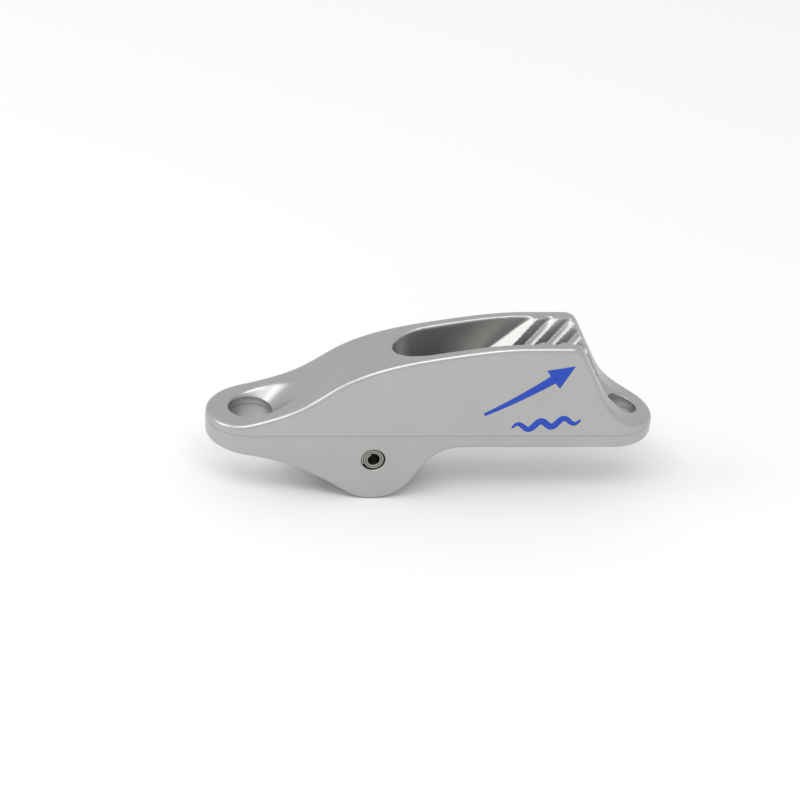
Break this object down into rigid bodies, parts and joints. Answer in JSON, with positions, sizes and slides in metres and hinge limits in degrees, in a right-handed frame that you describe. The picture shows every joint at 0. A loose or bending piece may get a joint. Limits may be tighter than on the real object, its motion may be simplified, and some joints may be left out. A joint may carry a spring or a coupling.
{
  "type": "rope cleat",
  "caption": "In-line rope cleat with a ribbed V channel on top, an eye at each end and a small turning sheave in its keel.",
  "frame": {"origin": "where the front eye's axis crosses the level of the flat underside", "axes": "+X along the rope from the front eye to the tail eye, +Z out of the rope channel, Y across"},
  "size_m": [0.095, 0.0178, 0.0369],
  "materials": {
    "body": "satin, fine cast and tumbled",
    "sheave": "satin acetal",
    "axle_pin": "rolled strip, satin"
  },
  "bodies": {
    "cleat": {"body": "body", "axle_pin": "axle_pin"},
    "sheave_body": {"sheave": "sheave"}
  },
  "joints": [
    {"name": "sheave_spin", "type": "hinge", "parent": "cleat", "child": "sheave_body", "pos_m": [0.0257, 0, -0.0032], "axis": [0, 1, 0], "continuous": true}
  ]
}
